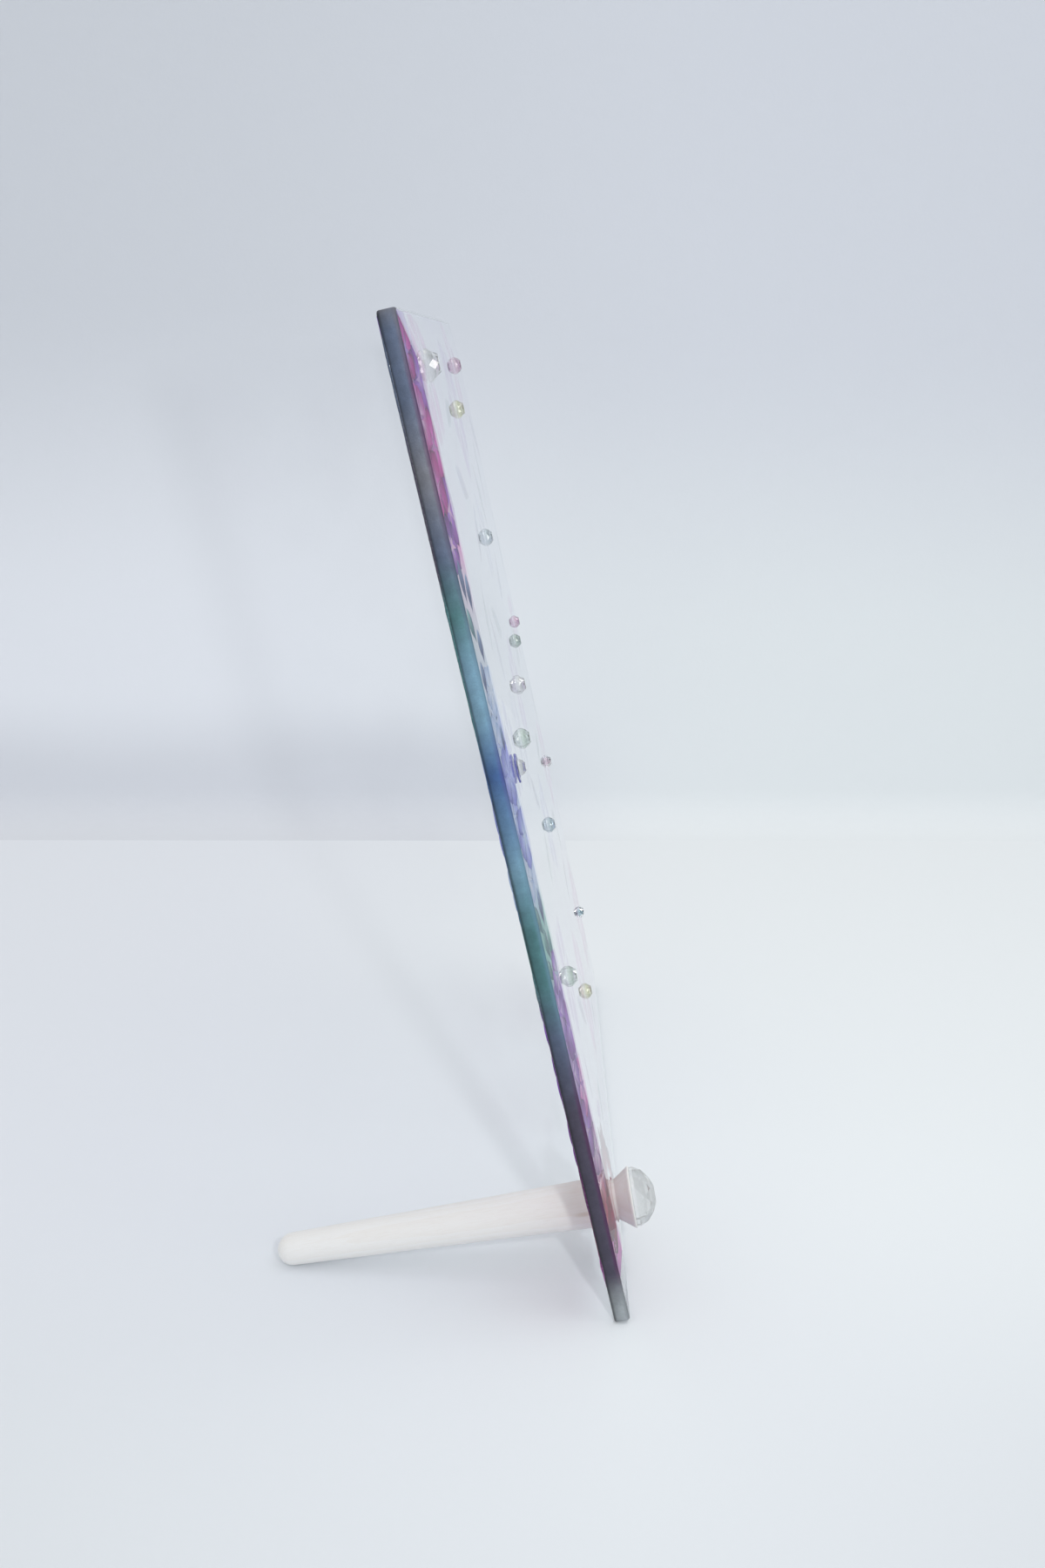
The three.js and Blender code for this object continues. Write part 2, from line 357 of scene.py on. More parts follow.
def clear_glass():
    n = Nodes("clear_glass")
    t, h, f = n.pane_place()
    smears = n.noise(n.combine(t, h, f), 0.035, 4, 0.6)
    rough = n.span(smears, 0.35, 0.75, 0.0, 0.03)
    shader = n.principled(Base_Color=GLASS_TINT, Roughness=rough, IOR=GLASS_IOR, Transmission_Weight=1.0)
    return n.finish(n.see_light_through(shader, GLASS_PASSES))


def glass_contact():
    """The back face where paint wets the glass, so that it neither bends nor mirrors."""
    n = Nodes("glass_contact")
    return n.finish(n.transparent())


def washed_edge():
    """The ground edge with the picture's washes run over it."""
    n = Nodes("washed_edge")
    t, h, f = n.pane_place()
    place = n.combine(t, h, f)
    share = n.share_up(h, n.noise(place, 0.06, 3, 0.55), 7)
    color = n.ramp(share, [
        (0.0, EDGE_FOOT), (0.03, EDGE_GREY), (0.06, EDGE_PLUM), (0.25, EDGE_PLUM), (0.34, EDGE_SLATE),
        (0.39, EDGE_TEAL), (0.45, EDGE_TEAL), (0.51, EDGE_SEA), (0.6, EDGE_BLUE), (0.66, EDGE_SEA),
        (0.7, EDGE_SEA), (0.75, EDGE_TEAL), (0.8, EDGE_SLATE), (0.87, EDGE_SMOKE), (0.93, EDGE_SLATE),
        (0.985, EDGE_SLATE), (1.0, EDGE_SMOKE)])
    mottle = n.span(n.noise(place, 0.35, 4, 0.65), 0.25, 0.75, 0.86, 1.12)
    grain = n.span(n.noise(place, 3.2, 4, 0.75), 0.2, 0.8, 0.9, 1.1)
    # painted shade and light across the ground edge: dark at its back corner, brighter towards the front and
    # darker again at the front corner; grain and mottle are random tone
    across = n.times(n.span(f, 0.3, 0.9, 0.42, 1.0), n.span(f, 0.6, 3.4, 0.84, 1.45, smooth=False))
    across = n.times(across, n.span(f, 3.45, 3.75, 1.0, 0.6))
    color = n.shade(color, n.times(n.times(across, grain), mottle))
    # the flowers' colours reach over the front corner
    seam = n.ramp(share, [
        (0.04, EDGE_GREY), (0.07, PLUM), (0.26, PLUM), (0.38, EDGE_SEA), (0.52, EDGE_SEA), (0.6, INDIGO),
        (0.68, EDGE_SEA), (0.78, EDGE_SLATE), (0.86, PLUM), (0.94, PLUM), (1.0, EDGE_SMOKE)])
    color = n.mix(n.span(f, 2.7, 3.5, 0.0, 0.6), color, seam)
    color = n.mix(n.span(t, 0.8, 6.0, 0.0, 0.85), color, EDGE_PALE)
    height = n.math("MULTIPLY_ADD", n.noise(place, 0.8), 2.0, n.noise(place, 5.0, 3, 0.6))
    normal = n.bump(height, 0.25, 0.0002)
    rough = n.span(n.noise(place, 0.5, 2), 0.3, 0.7, 0.34, 0.5)
    shader = n.principled(Base_Color=color, Roughness=rough, Normal=normal, Specular_IOR_Level=0.35)
    return n.finish(shader)


def paint_shader(n, color, strength, see_through, rough, normal):
    """A film that lets some light straight through, spreads some and throws some back.

    Its glossy outer skin has a normal of its own, its side at the glass has none.
    """
    path = n.add("LightPath").outputs
    back_light = n.add("BsdfTranslucent", {"Color": color}).outputs[0]
    # lamps shine through it and throw its colours on the ground
    see_through = n.math("MAXIMUM", see_through, n.times(path["Is Shadow Ray"], 0.6))
    if normal is not None:
        # the outer skin takes no more soft light away
        see_through = n.math("MAXIMUM", see_through, path["Is Diffuse Ray"])
        front = n.principled(Base_Color=color, Roughness=rough, Normal=normal, Specular_IOR_Level=0.5)
    else:
        front = n.add("BsdfDiffuse", {"Color": color}).outputs[0]
    body = n.shader_mix(0.5, front, back_light)
    share = n.math("SUBTRACT", 0.75, n.times(path["Is Diffuse Ray"], 0.65))
    tint = n.mix(n.times(strength, share), (1, 1, 1), color)
    return n.shader_mix(see_through, body, n.transparent(tint))


def wash_paint(name, gloss):
    """Watery colour: strong up the left side, almost clear on the rest."""
    n = Nodes(name)
    t, h = n.pane_place()[:2]
    place = n.combine(t, h, 0.0)
    share = n.share_up(h, n.noise(place, 0.03, 4, 0.55, 0.6), 26)
    color = n.ramp(share, [
        (0.0, ROSE), (0.06, MAUVE), (0.09, CRIMSON_LIGHT), (0.13, CRIMSON_LIGHT), (0.18, MAUVE),
        (0.36, LILAC), (0.40, PALE_TEAL), (0.44, PALE_TEAL), (0.47, PALE_BLUE), (0.54, PALE_BLUE),
        (0.6, LAVENDER), (0.65, PALE_BLUE), (0.71, MIST), (0.77, PINK_WHITE), (0.81, ROSE), (0.9, MAUVE),
        (1.0, LILAC)])
    water = n.noise(place, 0.045, 5, 0.6, 0.4)
    vivid = n.span(t, VIVID_TO, FAINT_FROM - 3, 1.0, 0.0)
    amount = n.span(water, 0.40, 0.70, 0.0, 0.3)
    amount = n.math("ADD", amount, n.times(vivid, n.span(water, 0.3, 0.6, 0.5, 1.0)), clamp=True)
    color = n.mix(amount, MIST, color)
    normal = n.bump(n.noise(place, 0.6, 4, 0.6), 0.2, 0.0002) if gloss else None
    strength = n.span(vivid, 0.0, 1.0, 0.25, 1.0)
    clear = n.span(vivid, 0.0, 1.0, 0.92, 0.35)
    return n.finish(paint_shader(n, color, strength, clear, 0.3, normal))


def petal_paint(name, gloss):
    """Brush strokes: colour and strength come from the petal's own attribute, the streaks run along it."""
    n = Nodes(name)
    paint = n.add("VertexColor", layer_name="paint")
    color = paint.outputs["Color"]
    stroke = n.add("UVMap", uv_map="stroke").outputs["UV"]
    stretched = n.vector("MULTIPLY", stroke, (24.0, 1.4, 1.0))
    hairs = n.noise(stretched, 1.0, 4, 0.6, 0.2)
    color = n.mix(n.span(hairs, 0.56, 0.80, 0.0, 0.3), color, PINK_WHITE)
    color = n.shade(color, n.span(hairs, 0.24, 0.48, 0.6, 1.0))
    normal = n.bump(hairs, 0.35, 0.0002) if gloss else None
    strength = paint.outputs["Alpha"]
    clear = n.span(strength, 0.0, 1.0, 1.0, 0.06, smooth=False)
    return n.finish(paint_shader(n, color, strength, clear, 0.25, normal))


def pale_wood():
    """Fine pale turned wood: faint growth rings along the grain, small pores, sanding marks round it."""
    n = Nodes("pale_wood")
    place = n.leg_place()

    def scaled(across, along):
        return n.vector("MULTIPLY", place, (across, across, along))

    warp = n.noise(scaled(0.12, 0.012), 1.0, color=True)
    bent = n.vector("ADD", scaled(1.0, 0.04), n.vector("MULTIPLY", warp, (6, 6, 0)))
    rings = n.add("TexWave", {
        "Vector": n.vector("ADD", bent, (9.0, -14.0, 0.0)), "Scale": 0.16, "Distortion": 1.2, "Detail": 3.0,
        "Detail Scale": 1.4}, wave_type="RINGS", rings_direction="Z", wave_profile="SAW").outputs["Fac"]
    color = n.mix(n.span(rings, 0.1, 1.0, 0.0, 0.4), WOOD_PALE, WOOD_CREAM)
    fibres = n.noise(scaled(5.5, 0.22), 1.0, 4, 0.65)
    color = n.mix(n.span(fibres, 0.45, 0.75, 0.0, 0.3), color, WOOD_GRAIN)
    pores = n.noise(scaled(16.0, 0.9), 1.0, 2)
    color = n.mix(n.span(pores, 0.66, 0.76, 0.0, 0.25), color, WOOD_PORE)
    # one small tan streak low on the root
    streak_at = n.vector("MULTIPLY", n.vector("SUBTRACT", place, (-5.8, 1.2, 5.5)), (0.3, 0.8, 0.2))
    color = n.mix(n.span(n.vector("LENGTH", streak_at), 0.15, 0.75, 0.35, 0.0), color, WOOD_PORE)
    marks = n.noise(scaled(0.1, 7.0), 1.0, 2)
    rough = n.span(fibres, 0.3, 0.7, 0.5, 0.66)
    height = n.math("MULTIPLY_ADD", marks, 0.5, n.times(fibres, 0.8))
    normal = n.bump(height, 0.25, 0.00012)
    return n.finish(n.principled(Base_Color=color, Roughness=rough, Normal=normal, Specular_IOR_Level=0.4))


def crystal_glass(name, tint, clear=0.9):
    """Cut glass with a bright polish; the less clear it is, the more light it spreads inside."""
    n = Nodes(name)
    scratches = n.noise(n.place(), 900, 3, 0.6)
    shader = n.principled(
        Base_Color=tint, Roughness=n.span(scratches, 0.4, 0.8, 0.0, 0.03), IOR=GLASS_IOR,
        Transmission_Weight=clear, Coat_Weight=1.0, Coat_IOR=1.9,
        Coat_Roughness=n.span(scratches, 0.3, 0.7, 0.02, 0.06))
    return n.finish(n.see_light_through(shader, tint))


def foil(name, tint):
    n = Nodes(name)
    wrinkles = n.noise(n.place(), 1400, 2)
    normal = n.bump(wrinkles, 0.2, 0.0001)
    rough = n.span(wrinkles, 0.3, 0.7, 0.12, 0.25)
    return n.finish(n.principled(Base_Color=tint, Metallic=1.0, Roughness=rough, Normal=normal))


def relief_paint(name, color, light):
    n = Nodes(name)
    mottle = n.noise(n.place(), 500, 3, 0.6)
    shade = n.mix(n.span(mottle, 0.35, 0.7), color, light)
    normal = n.bump(n.noise(n.place(), 900, 3, 0.6), 0.3, 0.0002)
    return n.finish(n.principled(
        Base_Color=shade, Roughness=0.22, Normal=normal, Coat_Weight=0.4, Coat_Roughness=0.08,
        Subsurface_Weight=0.1, Subsurface_Radius=(0.001, 0.0008, 0.0012)))


def bead_paint():
    """Paint that ran over the back corner of the edge, in the colour of what lies beside it."""
    n = Nodes("bead_paint")
    t, h, f = n.pane_place()
    place = n.combine(t, h, f)
    share = n.share_up(h, n.noise(place, 0.05), 16)
    color = n.ramp(share, [
        (0.0, MAUVE), (0.1, PLUM), (0.3, PLUM), (0.42, EDGE_TEAL), (0.5, SLATE), (0.58, EDGE_BLUE),
        (0.68, EDGE_TEAL), (0.75, EDGE_TEAL), (0.8, EDGE_PLUM), (0.88, EDGE_PLUM), (0.94, EDGE_SLATE)],
        smooth=True)
    rough = n.span(n.noise(place, 1.2), 0.3, 0.7, 0.15, 0.35)
    normal = n.bump(n.noise(place, 2.0), 0.3, 0.0002)
    return n.finish(n.principled(Base_Color=color, Roughness=rough, Normal=normal))


# The glass pane

def outline(inset, radius, steps=4):
    """Points round the pane at an inset from its edge, with the same count whatever the radius."""
    points = []
    corners = (
        (PANE_WIDTH - inset, PANE_HEIGHT - inset, 0), (inset, PANE_HEIGHT - inset, 90),
        (inset, inset, 180), (PANE_WIDTH - inset, inset, 270))
    for x, y, start in corners:
        inward = math.radians(start + 225)
        centre_x = x + radius * math.copysign(1, math.cos(inward))
        centre_y = y + radius * math.copysign(1, math.sin(inward))
        for k in range(2 * steps + 1):
            angle = math.radians(start + 90 * k / (2 * steps))
            points.append((centre_x + radius * math.cos(angle), centre_y + radius * math.sin(angle)))
    return points


def facet_height(t, h):
    """How far forward the facet's surface lies at a place near the edge."""
    edge = min(t, PANE_WIDTH - t, h, PANE_HEIGHT - h)
    return PANE_THICKNESS - FACET_DEPTH * (1 - min(edge / FACET_WIDTH, 1))


def rectangle(inset, foot):
    """Corner points (t, h) at an inset from the pane's edge, and above a foot."""
    right, top = PANE_WIDTH - inset, PANE_HEIGHT - inset
    return [(inset, foot), (right, foot), (right, top), (inset, top)]


def circle(reach, sides=64):
    """Points (t, h) round the middle of the hole."""
    turns = [2 * math.pi * k / sides for k in range(sides)]
    return [(HOLE_FROM_SIDE + reach * math.cos(a), HOLE_FROM_BOTTOM + reach * math.sin(a)) for a in turns]


def wall_quads(low, high):
    """Corners of the quads between two closed loops."""
    return zip(low, low[1:] + low[:1], high[1:] + high[:1], high)


def fill_flat(tidy, loops, material):
    """Fills the space between closed loops of vertices in one plane."""
    edges = []
    for loop in loops:
        for a, b in zip(loop, loop[1:] + loop[:1]):
            edges.append(tidy.edges.get((a, b)) or tidy.edges.new((a, b)))
    before = set(tidy.faces)
    bmesh.ops.triangle_fill(tidy, edges=edges, use_beauty=True, use_dissolve=False)
    for face in tidy.faces:
        if face not in before:
            face.material_index = material
            face.smooth = False


# the pane's material slots, and the chamfer of its hole
GLASS, CONTACT, EDGE, WALL = range(4)
CHAMFER = 0.25


def make_pane(glass, contact, edge, hole_wall):
    tidy = bmesh.new()

    def ring(points, depth):
        return [tidy.verts.new(on_pane(x, y, depth(x, y) if callable(depth) else depth)) for x, y in points]

    def add_face(corners, material, smooth):
        face = tidy.faces.new(corners)
        face.material_index = material
        face.smooth = smooth

    def join(loops, material):
        for low, high in zip(loops, loops[1:]):
            for corners in wall_quads(low, high):
                add_face(corners, material, True)

    # back arris, ground edge and front arris as (inset, depth), each arris rounded in a few steps
    turns = [k * math.pi / 8 for k in range(5)]
    profile = [(ARRIS * (1 - math.sin(a)), ARRIS * (1 - math.cos(a))) for a in turns]
    top = PANE_THICKNESS - FACET_DEPTH
    profile += [(0.0, top - 0.45), (0.06, top - 0.22), (0.2, top - 0.06), (0.45, facet_height)]
    rings = [ring(outline(inset, PANE_CORNER_RADIUS - inset), depth) for inset, depth in profile]
    join(rings, EDGE)
    # facets: the corner points of the outer ring meet in one point of the ridge
    ridge = ring(rectangle(FACET_WIDTH, FACET_WIDTH), PANE_THICKNESS)
    peaks = [ridge[k] for k in (2, 3, 0, 1)]
    outer = rings[-1]
    count = len(outer) // 4
    for corner in range(4):
        run = outer[corner * count:(corner + 1) * count]
        for a, b in zip(run, run[1:]):
            add_face((a, b, peaks[corner]), GLASS, False)
        following = (corner + 1) % 4
        add_face((run[-1], outer[following * count], peaks[following], peaks[corner]), GLASS, False)
    # hole with small chamfers
    wall = [ring(circle(HOLE_RADIUS + grow), depth) for grow, depth in (
        (CHAMFER, 0.0), (0.0, CHAMFER), (0.0, PANE_THICKNESS - CHAMFER), (CHAMFER, PANE_THICKNESS))]
    join(wall, WALL)
    fill_flat(tidy, [ridge, wall[-1]], GLASS)
    inner = ring(rectangle(LAYER_MARGIN, BARE_FOOT), 0.0)
    fill_flat(tidy, [inner, wall[0]], CONTACT)
    fill_flat(tidy, [inner, rings[0]], GLASS)
    piece = from_bmesh("pane_glass", tidy, (glass, contact, edge, hole_wall))
    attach(piece, "pane")
    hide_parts("glass_pane")


# The painted picture

# the film of washes: depth of its two sides behind the glass, and its hole
FILM_FRONT = -0.02
FILM_BACK = -0.12
FILM_HOLE_RADIUS = 6.7
# strokes lie across the film, and end inside its outline
STROKE_FRONT = -0.006
STROKE_BACK = -0.14
STROKE_MARGIN = LAYER_MARGIN + 0.2
STROKE_FOOT = BARE_FOOT + 0.2
STROKE_ROWS = 12
STROKE_COLUMNS = 7
# at the left edge, strokes thin out above this height
THIN_FROM = 150
# way round, in degrees, of the petals low on the left
LOW_LEFT = (186, 262)

# strong colour up the left side and round the hole, faint colour on the rest
VIVID = 1.0
FAINT = 0.3
VIVID_TO = 14.0
HOLE_VIVID_TO = 14.0
FAINT_FROM = 24.0


def clamp(value, low, high):
    return min(max(value, low), high)


def blend(first, second, share):
    return [a + (b - a) * share for a, b in zip(first, second)]


def make_wash(inside, outside):
    """The sheet of washes, behind the glass, open round the leg."""
    tidy = bmesh.new()
    shapes = (rectangle(LAYER_MARGIN, BARE_FOOT), circle(FILM_HOLE_RADIUS))
    layers = [[[tidy.verts.new(on_pane(x, y, depth)) for x, y in points] for points in shapes]
              for depth in (FILM_FRONT, FILM_BACK)]
    for index, loops in enumerate(layers):
        fill_flat(tidy, loops, index)
    for low, high in zip(*layers):
        for corners in wall_quads(low, high):
            tidy.faces.new(corners).material_index = 1
    piece = from_bmesh("painted_wash", tidy, (inside, outside))
    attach(piece, "pane")
    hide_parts("picture_layer")


class Strokes:
    """Collects painted strokes, each a thin closed body with a flat front and a domed back."""

    def __init__(self):
        self.points, self.faces, self.colors, self.uvs, self.slots = [], [], [], [], []
        self.count = 0

    def stroke(self, start, angle, length, width, colors, belly=1.6, fullness=0.75, bend=0.0, thick=0.22,
               wave=0.0):
        """One petal or leaf: colours run from its start to its tip, and darken at its sides."""
        rows, columns = STROKE_ROWS, STROKE_COLUMNS
        base = len(self.points)
        self.count += 1
        dark, middle, pale = colors
        ahead, aside = math.cos(math.radians(angle)), math.sin(math.radians(angle))
        for back, u, v in petal_grid(rows, columns):
            half = width / 2 * max(math.sin(math.pi * u ** belly), 0.0) ** fullness
            ripple = 1 + wave * math.sin(9 * v + self.count) * u
            along = length * u * (1 - 0.10 * v * v * u) * ripple
            across = half * v + bend * length * u * u
            t = start[0] + along * ahead - across * aside
            h = start[1] + along * aside + across * ahead
            t = clamp(t, STROKE_MARGIN, PANE_WIDTH - STROKE_MARGIN)
            h = clamp(h, STROKE_FOOT, PANE_HEIGHT - STROKE_MARGIN)
            depth = STROKE_FRONT - 0.0008 * (self.count % 9)
            if back:
                lift = (1 - v * v) * math.sin(math.pi * min(u * 0.9 + 0.05, 1))
                thin = min(1.0, max(0.0, (t - STROKE_MARGIN) / 4, (THIN_FROM - h) / 20))
                depth = STROKE_BACK - thick * max(lift, 0) * thin - 0.0002 * self.count
            self.points.append(on_pane(t, h, depth))
            # the brush carries the dark colour on one side
            edge = max(0.0, (u - 0.6) / 0.4) * 0.5 + 0.9 * max(0.0, v) ** 2 + 0.3 * max(0.0, -v) ** 6
            # faint strokes run out softly
            from_hole = math.hypot(t - HOLE_FROM_SIDE, h - HOLE_FROM_BOTTOM)
            fade = clamp(min(t - VIVID_TO, from_hole - HOLE_VIVID_TO) / (FAINT_FROM - VIVID_TO), 0, 1)
            strength = VIVID + (FAINT - VIVID) * fade
            strength *= (1 - fade * v * v) * (1 - fade * u ** 4)
            tone = blend(blend(pale, middle, min(u * 1.6, 1)), dark, min(edge, 1) * (1 - 0.75 * fade))
            self.colors.append(blend(tone, PINK_WHITE, 0.35 * fade) + [strength])
            self.uvs.append((0.5 + 0.5 * v + 1.7 * self.count, u + 3.1 * self.count))
        self.faces += two_sides(base, rows, columns)
        self.slots += [0, 1] * ((rows - 1) * (columns - 1))
        size = rows * columns
        for i in range(rows - 1):
            for j in (0, columns - 1):
                a = base + i * columns + j
                self.faces.append((a, a + columns, a + columns + size, a + size))
                self.slots.append(1)

    def blossom(self, t, h, reach, turn, colors, petals=5, inner=2.0, low_left=None):
        """A ring of petals, where asked with other colours low on its left."""
        length = reach - inner
        width = length * 2.2 * math.sin(math.pi / petals) * 0.78
        for k in range(petals):
            angle = turn + 360 * k / petals
            way = math.radians(angle)
            start = (t + inner * math.cos(way), h + inner * math.sin(way))
            tones = low_left if low_left and LOW_LEFT[0] < angle % 360 < LOW_LEFT[1] else colors
            self.stroke(start, angle, length, width, tones, wave=0.05)

    def leaf(self, start, angle, length, width, colors, bend):
        self.stroke(start, angle, length, width, colors, belly=0.85, fullness=1.0, bend=bend, thick=0.12)

    def piece(self, name, materials):
        mesh = raw_mesh(name, self.points, self.faces)
        mesh.polygons.foreach_set("material_index", self.slots)
        paint = mesh.color_attributes.new("paint", "FLOAT_COLOR", "POINT")
        paint.data.foreach_set("color", [c for color in self.colors for c in color])
        layer = mesh.uv_layers.new(name="stroke")
        for loop in mesh.loops:
            layer.data[loop.index].uv = self.uvs[loop.vertex_index]
        clean(mesh, 1e-6, 1e-6)
        piece = mesh_object(name, mesh, materials)
        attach(piece, "pane")


MAGENTAS = (BERRY, MAGENTA, FUCHSIA)
VIOLETS = (PURPLE, ORCHID, LILAC)
DUSKS = (INDIGO, ORCHID, LILAC)
ROSES = (MAGENTA, FUCHSIA, PINK_WHITE)
LILACS = (PURPLE, LILAC, PINK_WHITE)
LAVENDERS = (PERIWINKLE, LAVENDER, PALE_BLUE)
BLUES = (SKY, PALE_BLUE, MIST)
CRIMSONS = (PLUM, CRIMSON, CRIMSON_LIGHT)
PINKS = (ORCHID, FUCHSIA, ROSE)
MAUVES = (PURPLE, MAUVE, PINK_WHITE)
SLATES = (INDIGO, SLATE, SKY)
TEALS = (SLATE, TEAL, PALE_TEAL)

# small blossoms in a chain up the left side: middle t and h, reach, turn, colours
CHAIN = (
    (5.5, 232, 7, 24, MAGENTAS), (12.5, 226, 8, 70, VIOLETS), (4.5, 219, 8, 34, ROSES),
    (12, 213, 8, 12, MAGENTAS), (5, 205, 9, 50, MAGENTAS), (12.5, 199.5, 8, 66, VIOLETS),
    (6.5, 193, 7, 20, DUSKS), (12.5, 160, 6.5, 40, BLUES), (5.5, 150, 7, 8, BLUES),
    (11, 141, 8, 60, LAVENDERS), (5, 133, 8.5, 24, LAVENDERS), (12.5, 125.5, 8, 44, LAVENDERS),
    (5.5, 118, 7, 12, BLUES), (13, 90, 7, 30, LILACS), (5.5, 84, 8, 66, LILACS),
    (12, 76, 8, 15, VIOLETS), (5, 68, 8.5, 48, LILACS), (12.5, 60.5, 8, 32, ROSES),
    (5.5, 52, 8.5, 10, VIOLETS), (11, 43, 7, 58, MAUVES), (4.5, 16, 5.5, 30, PINKS))

# blossoms on the rest: middle t and h, reach, turn, colours
BLOSSOMS = (
    (33, 227, 18, 24, ROSES), (101.7, 215.9, 20, 40, LILACS), (136.5, 227.1, 14, 10, ROSES),
    (102.7, 180.9, 13, 20, BLUES), (154.5, 145.7, 11, 50, ROSES), (135, 143.5, 9, 15, TEALS),
    (99.2, 138.6, 16, 0, LILACS), (64.5, 133.2, 15, 32, BLUES), (30, 141, 13, 8, LAVENDERS),
    (159.8, 96, 17, 30, ROSES), (98.3, 96.3, 16, 60, LAVENDERS), (158, 39.6, 21, 12, MAGENTAS),
    (40, 75.7, 17, 44, LILACS), (94.8, 42.2, 21, 18, ROSES))

# leaves: start t and h, angle, length, width, colours
LEAVES = (
    (8.5, 190, 262, 10, 4.4, SLATES), (13.5, 186, 254, 9, 4.0, SLATES), (6, 180, 283, 9, 4.2, TEALS),
    (12.5, 174, 263, 8, 4.2, SLATES), (7.5, 168, 276, 8, 3.8, SLATES), (13.5, 152, 255, 7, 3, SLATES),
    (4, 112, 286, 10, 4.6, TEALS), (12.5, 113, 258, 10, 4.4, SLATES), (8, 105, 274, 10, 4.6, TEALS),
    (14, 102, 250, 9, 4.0, TEALS), (4.5, 98, 290, 8, 4, TEALS), (13.5, 38, 264, 8, 4, MAUVES),
    (4, 37, 280, 9, 4.6, CRIMSONS), (52, 205, 330, 26, 8, SLATES),
    (60, 214, 20, 22, 7, TEALS), (120, 200, 300, 24, 8, TEALS), (86, 192, 220, 24, 7, SLATES),
    (158, 212, 320, 22, 8, SLATES), (150, 205, 250, 22, 7, TEALS), (84, 158, 160, 24, 8, TEALS),
    (118, 160, 30, 22, 7, SLATES), (58, 150, 98, 22, 7, SLATES), (38, 162, 64, 20, 6, TEALS),
    (166, 160, 70, 18, 6, TEALS), (168, 124, 280, 18, 6, SLATES), (142, 112, 200, 22, 7, TEALS),
    (80, 108, 140, 22, 7, SLATES), (122, 86, 350, 20, 7, TEALS), (60, 92, 40, 22, 7, TEALS),
    (56, 60, 320, 24, 8, SLATES), (34, 56, 250, 14, 5, SLATES), (120, 60, 40, 22, 7, SLATES),
    (143, 70, 108, 18, 6, TEALS), (66, 30, 190, 22, 7, TEALS), (122, 26, 200, 18, 6, SLATES),
    (174, 66, 80, 20, 6, TEALS), (50, 30, 150, 16, 6, LILACS))


def make_flowers(inside, outside):
    strokes = Strokes()
    for t, h, reach, turn, colors in BLOSSOMS:
        strokes.blossom(t, h, reach, turn, colors)
    for t, h, reach, turn, colors in CHAIN:
        strokes.blossom(t, h, reach, turn, colors, inner=0.8)
    for reach, turn in ((21, 4), (19, 24)):
        strokes.blossom(
            HOLE_FROM_SIDE, HOLE_FROM_BOTTOM, reach, turn, CRIMSONS, petals=9, inner=6.9, low_left=PINKS)
    for t, h, angle, length, width, colors in LEAVES:
        strokes.leaf((t, h), angle, length, width, colors, bend=0.12 if angle % 4 else -0.12)
    strokes.piece("painted_flowers", (inside, outside))


def make_beads(material):
    """Paint drawn over the back corner of the left edge in an uneven line."""
    points = []
    sides, steps = 8, 260
    low, high = 11.5, PANE_HEIGHT - 1.4
    for i in range(steps + 1):
        share = i / steps
        h = low + (high - low) * share
        swell = max(noise.fractal(Vector((0.3, h * 0.11, 3.7)), 1.0, 2.0, 3) + 0.12, 0)
        # a thick drop near its lower end, and an even line in its upper part
        swell += 0.8 * math.exp(-((h - 15) / 3.5) ** 2)
        swell = max(swell, clamp((h - 140) / 30, 0, 1) * 0.55)
        size = min(0.11 + 0.3 * swell + 0.04 * noise.noise(Vector((0.8, h * 0.8, 1.2))), 0.42)
        size *= math.sin(math.pi * min(share * 14, (1 - share) * 14, 0.5)) * 0.95 + 0.05
        for k in range(sides):
            angle = 2 * math.pi * k / sides
            points.append(on_pane(0.3 + size * math.cos(angle), h, 0.2 + 1.3 * size * math.sin(angle)))
    faces = grid_faces(steps + 1, sides)
    faces.append(tuple(range(sides)))
    faces.append(tuple(steps * sides + k for k in reversed(range(sides))))
    piece = build("paint_bead", points, faces, "pane", material)


# Crystals and the raised flower

def cut_points(radius, height, girdle, crown):
    """Corner points of a cut stone. Rings of its crown: (share of radius, share of height, count, turn)."""
    count = crown[0][2]
    points = []
    for share, rise, count, turn in ((1.0, 0.0, count, 0.0), (1.0, girdle, count, 0.0), *crown):
        for k in range(count):
            angle = 2 * math.pi * (k + turn) / count
            points.append((radius * share * math.cos(angle), radius * share * math.sin(angle), height * rise))
    return points


def hull_piece(name, points, place, body, materials, node):
    """A cut stone: the hull of its corner points, with its flat base in the second material."""
    tidy = bmesh.new()
    for point in points:
        tidy.verts.new(point)
    bmesh.ops.convex_hull(tidy, input=tidy.verts)
    loose = [v for v in tidy.verts if not v.link_faces]
    bmesh.ops.delete(tidy, geom=loose, context="VERTS")
    bmesh.ops.dissolve_limit(tidy, angle_limit=math.radians(1.5), verts=tidy.verts, edges=tidy.edges)
    bmesh.ops.recalc_face_normals(tidy, faces=tidy.faces)
    for face in tidy.faces:
        face.smooth = False
        face.material_index = 1 if face.normal.z < -0.99 else 0
    for vert in tidy.verts:
        vert.co = place(vert.co)
    piece = from_bmesh(name, tidy, materials)
    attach(piece, body)
    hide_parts(node)
    return piece


# how far glued stones and the flower stay off the glass, and the stone in the flower
GLUE_GAP = 0.02
FLOWER_THICKNESS = 0.8
FLOWER_STONE_LIFT = FLOWER_THICKNESS + 0.05
FACE_CROWN = ((0.98, 0.26, 16, 0.0), (0.80, 0.62, 8, 0.5), (0.52, 1.0, 8, 0.0))


